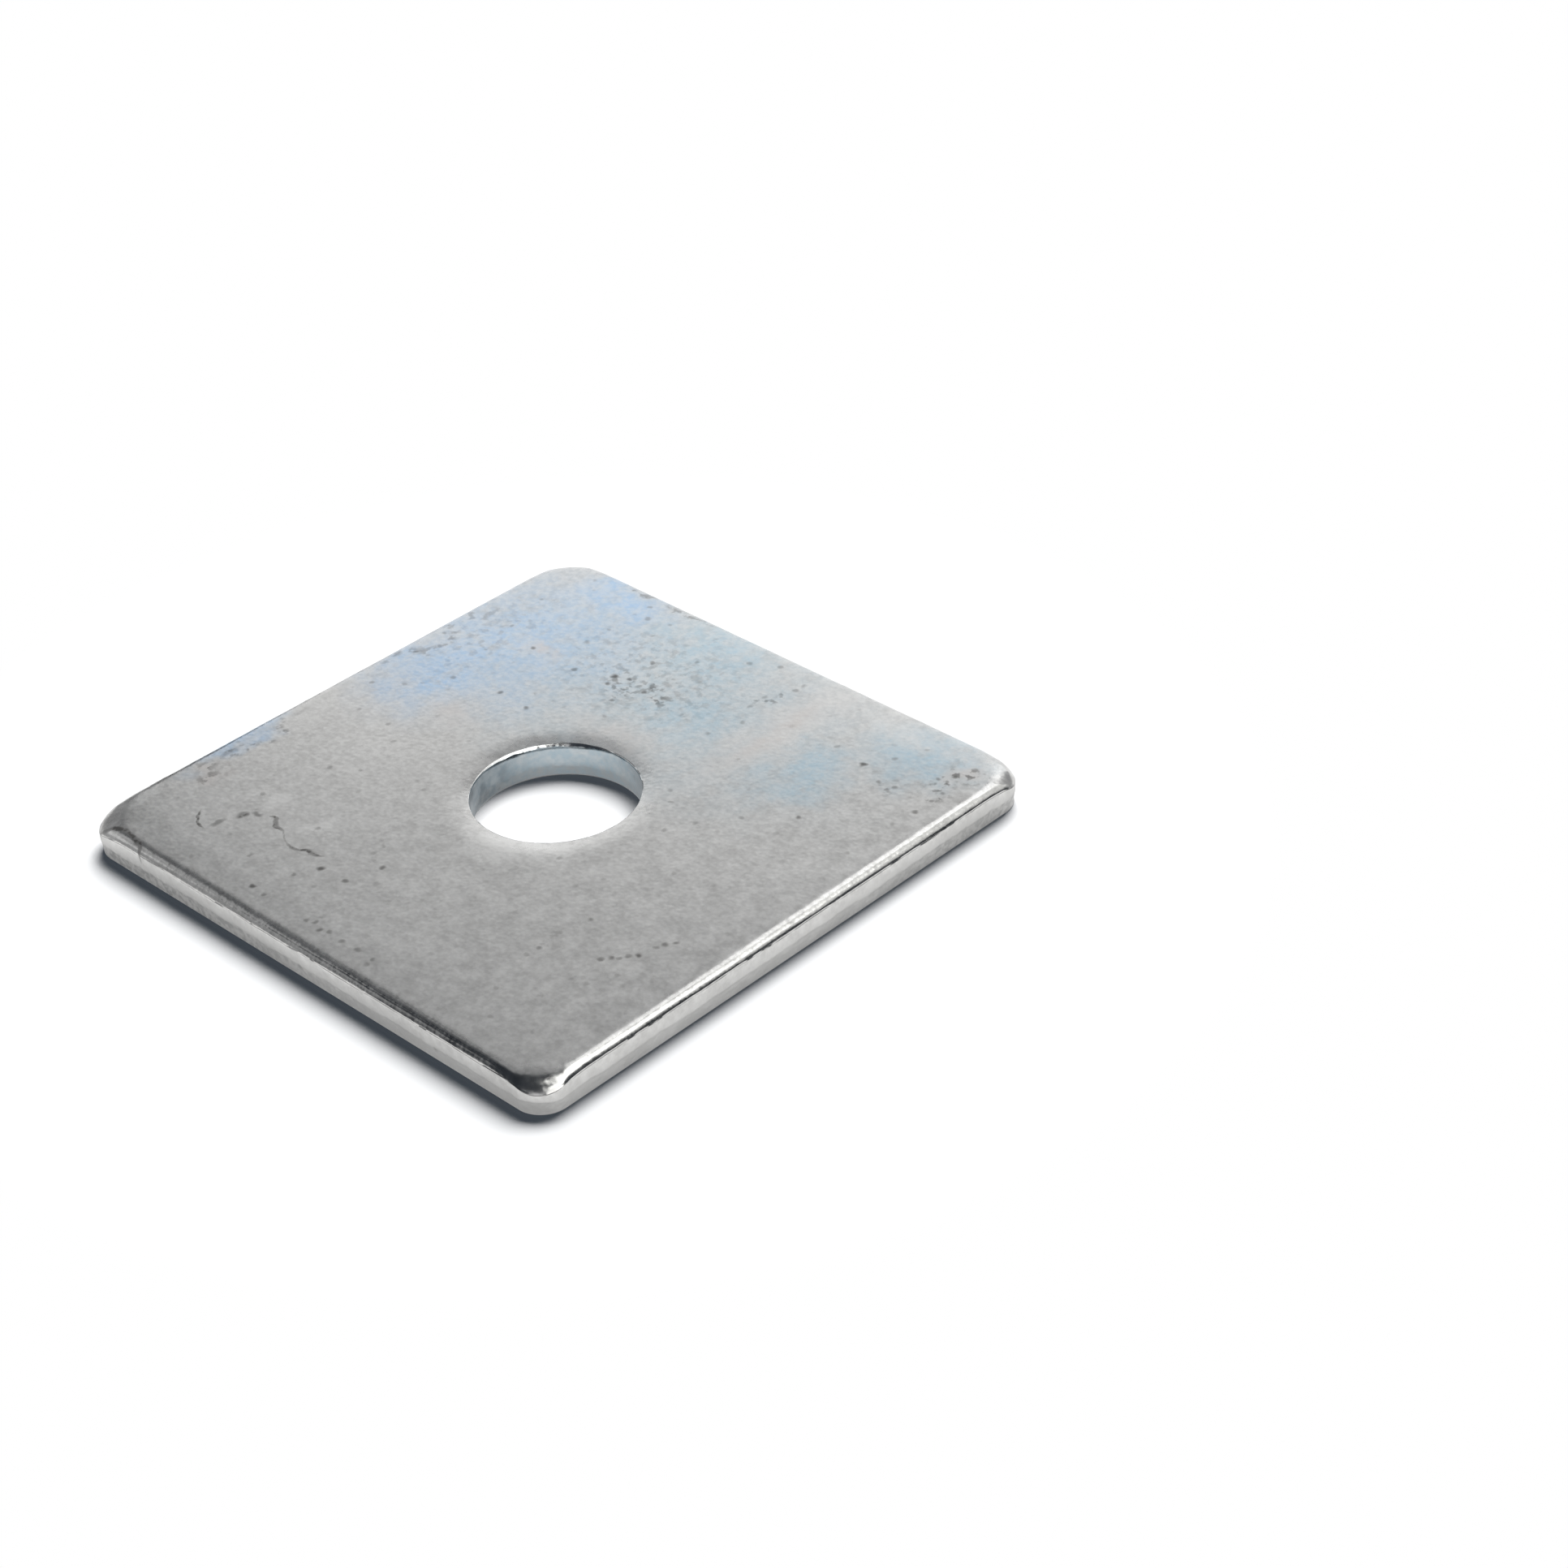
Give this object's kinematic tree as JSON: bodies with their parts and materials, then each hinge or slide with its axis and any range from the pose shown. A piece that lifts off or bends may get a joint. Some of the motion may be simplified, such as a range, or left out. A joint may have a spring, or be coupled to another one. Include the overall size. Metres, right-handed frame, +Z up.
{
  "type": "square plate washer",
  "caption": "Flat square steel plate washer with rounded corners and a central bolt hole, pressed from sheet and zinc plated, to spread a nut's or bolt head's load.",
  "frame": {"origin": "centre of the bolt hole on the underside, which lies on the surface", "axes": "+Z up along the hole's axis, out of the face with the rolled rim; X and Y square to the sides"},
  "size_m": [0.05, 0.05, 0.003],
  "materials": {
    "zinc_plate": "satin bright zinc plating, mottled, with a faint blue passivation and fine handling marks"
  },
  "bodies": {
    "root": {"square_washer": "zinc_plate"}
  },
  "joints": []
}
